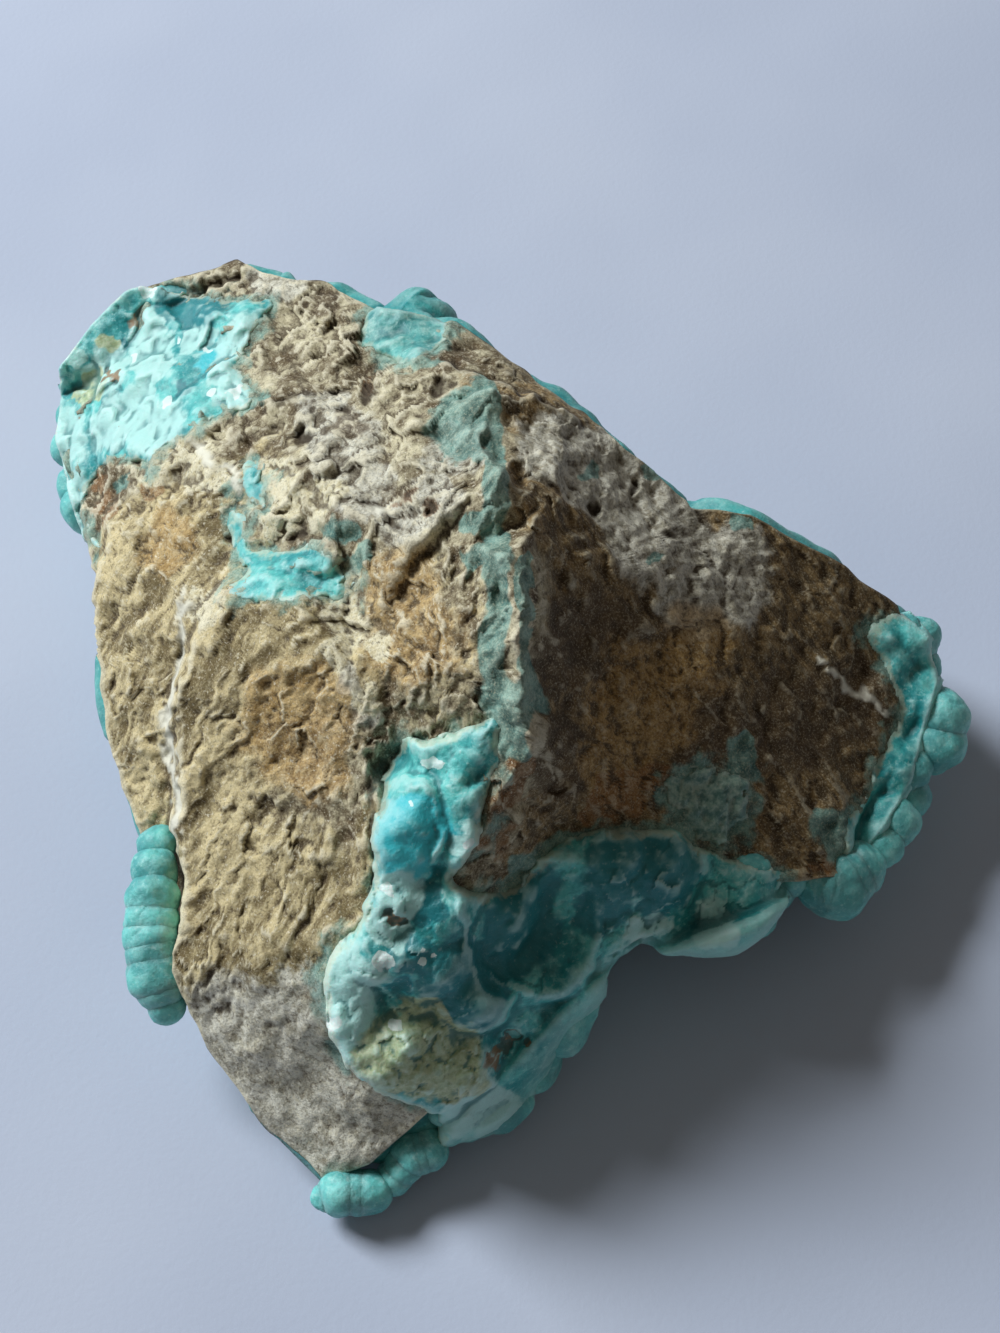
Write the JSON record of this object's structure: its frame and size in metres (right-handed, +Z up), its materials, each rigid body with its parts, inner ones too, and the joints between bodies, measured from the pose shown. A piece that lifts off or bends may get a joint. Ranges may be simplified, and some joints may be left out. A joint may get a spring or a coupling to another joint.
{
  "type": "hemimorphite mineral specimen",
  "caption": "Wedge of broken brown stone with a blue-green botryoidal crust wrapping its base, rear and front edge.",
  "frame": {"origin": "centre of the specimen's bounding box in plan, on the surface that it rests on", "axes": "+Z up as it rests, -Y towards the front mass of crust, +X towards the end of the long dark slope"},
  "size_m": [0.095, 0.096, 0.048],
  "materials": {
    "matrix_stone": "rough broken stone, tan to brown, with grey and cream patches",
    "blue_green_crust": "waxy, slightly translucent crystal lobes, pale cyan to deep teal"
  },
  "bodies": {
    "root": {"matrix_stone": "matrix_stone", "botryoidal_crust": "blue_green_crust", "pocket_crust": "blue_green_crust", "slope_crust": "blue_green_crust"}
  },
  "joints": []
}
